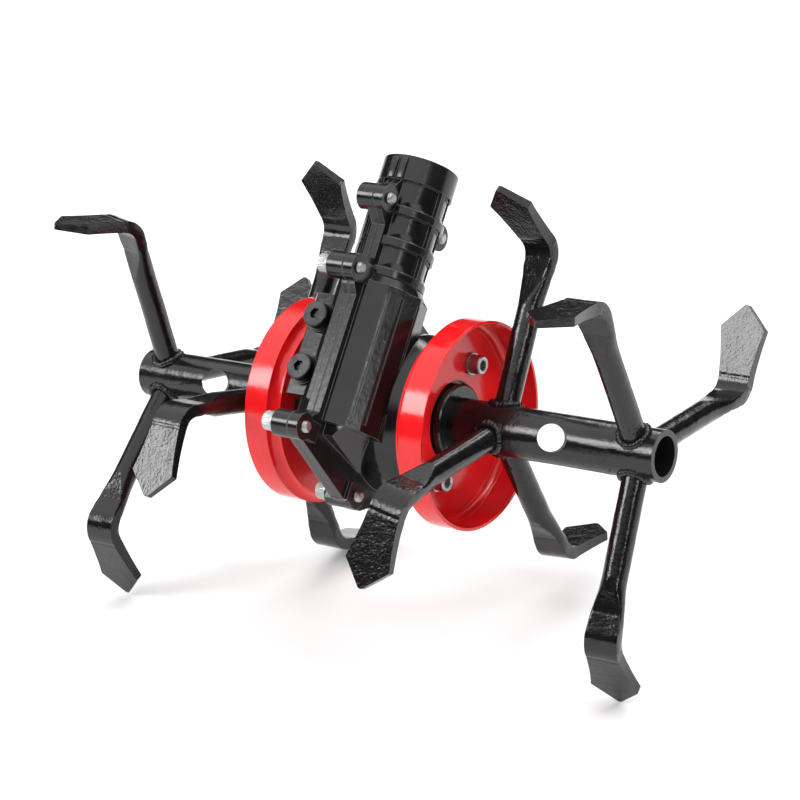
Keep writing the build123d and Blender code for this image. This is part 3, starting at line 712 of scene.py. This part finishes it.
def make_neck_ledges():
    """Ledges that slope out of the neck at the foot of each window on its right side."""
    parts = [neck_ledge(down, *window) for down in LEDGES for window in NECK_WINDOWS]
    verts, faces = join(parts)
    finish_piece("neck_ledges", verts, faces, "gearbox", "housing_paint", 40.0)


# ---------------------------------------------------------------- stage, light and camera

def floor_plane():
    """Point and normal of the plane under the three tine points that the head stands on."""
    normal = Vector((0, 0, 1))
    for _ in range(4):
        feet = [min((v.co for v in frame["nodes"][name].data.vertices), key=normal.dot)
                for name in STANDING_TINES]
        normal = (feet[1] - feet[0]).cross(feet[2] - feet[0]).normalized()
        if normal.z < 0:
            normal.negate()
    return feet[0], normal


def make_floor():
    point, normal = floor_plane()
    mesh = bpy.data.meshes.new("floor")
    corners = [(x * FLOOR_REACH, y * FLOOR_REACH, 0)
               for x, y in ((-1, -1), (1, -1), (1, 1), (-1, 1))]
    mesh.from_pydata(corners, [], [(0, 1, 2, 3)])
    floor = bpy.data.objects.new("floor", mesh)
    bpy.context.scene.collection.objects.link(floor)
    floor.rotation_mode = "QUATERNION"
    floor.rotation_quaternion = normal.to_track_quat("Z", "Y")
    floor.location = point - normal * FLOOR_GAP
    made = Recipe("floor")
    tone = made.noise(1.2, 3.0)
    made.set(Base_Color=made.mix(tone, (0.94, 0.94, 0.94), (0.92, 0.92, 0.925)), Roughness=0.7)
    mesh.materials.append(made.material)


def softbox(name, azimuth, elevation, distance, width, height, radiance):
    """Area light that faces the head; azimuth 0 is in front and 90 to the right, in degrees."""
    light = bpy.data.lights.new(name, "AREA")
    light.shape = "RECTANGLE"
    light.size = width
    light.size_y = height
    light.energy = radiance * math.pi * width * height
    turn, lift = math.radians(azimuth), math.radians(elevation)
    away = Vector((math.sin(turn) * math.cos(lift), -math.cos(turn) * math.cos(lift),
                   math.sin(lift)))
    lamp = bpy.data.objects.new(name, light)
    lamp.location = AXLE + away * distance
    lamp.rotation_mode = "QUATERNION"
    lamp.rotation_quaternion = away.to_track_quat("Z", "Y")
    lamp.visible_camera = False
    bpy.context.scene.collection.objects.link(lamp)


def make_world():
    """A broad overhead light above a dim room; the camera itself sees a white backdrop."""
    world = bpy.data.worlds.new("studio")
    bpy.context.scene.world = world
    world.use_nodes = True
    tree = world.node_tree
    place = tree.nodes.new("ShaderNodeTexCoord")
    split = tree.nodes.new("ShaderNodeSeparateXYZ")
    ramp = tree.nodes.new("ShaderNodeMapRange")
    ramp.interpolation_type = "SMOOTHSTEP"
    for key, number in (("From Min", 0.44), ("From Max", 0.73), ("To Min", 0.05),
                        ("To Max", 1.62)):
        ramp.inputs[key].default_value = number
    path = tree.nodes.new("ShaderNodeLightPath")
    choose = tree.nodes.new("ShaderNodeMix")
    choose.inputs[3].default_value = 1.0
    tree.links.new(place.outputs["Generated"], split.inputs["Vector"])
    tree.links.new(split.outputs["Z"], ramp.inputs["Value"])
    tree.links.new(path.outputs["Is Camera Ray"], choose.inputs["Factor"])
    tree.links.new(ramp.outputs["Result"], choose.inputs[2])
    tree.links.new(choose.outputs[0], tree.nodes["Background"].inputs["Strength"])
    tree.nodes["Background"].inputs["Color"].default_value = (1.0, 1.0, 1.0, 1.0)


def make_lights():
    make_world()
    softbox("key_left", -37.0, 34.0, 2.5, 1.0, 0.8, 13.0)
    softbox("back", 190.0, 38.0, 3.0, 2.2, 0.6, 6.0)
    softbox("side_right", 112.0, 32.0, 2.5, 0.6, 0.7, 10.0)
    softbox("strip_right", 68.0, 26.0, 2.5, 0.3, 1.0, 9.0)


def make_camera():
    """Camera of the photograph: in front, to the right and above, with a slight roll."""
    camera = bpy.data.cameras.new("camera")
    camera.lens = 119.8
    camera.sensor_width = 36.0
    camera.clip_start = 0.05
    camera.clip_end = 60.0
    lean = Matrix.Rotation(math.radians(-12.0), 4, "X")
    turn = Matrix.Rotation(math.radians(35.1), 4, "Z")
    tilt = Matrix.Rotation(math.radians(76.7), 4, "X")
    view = bpy.data.objects.new("camera", camera)
    view.matrix_world = Matrix.Translation(CAMERA_PLACE) @ lean @ turn @ tilt
    bpy.context.scene.collection.objects.link(view)
    bpy.context.scene.camera = view


# ---------------------------------------------------------------- the scene

def dress_nodes():
    """Each CAD node wears its slot's material, but tubes and flanges have smoother paint."""
    for name, obj in frame["nodes"].items():
        slot = SLOT_OF[name]
        is_tube = slot == "hub_paint" and not name.startswith("tine_")
        dress(obj, "tube_paint" if is_tube else slot)


bpy.context.scene.view_settings.view_transform = "Standard"
make_floor()
make_lights()
make_camera()
dress_nodes()
make_tines()
make_screws()
make_collar_ribs()
make_neck_ledges()
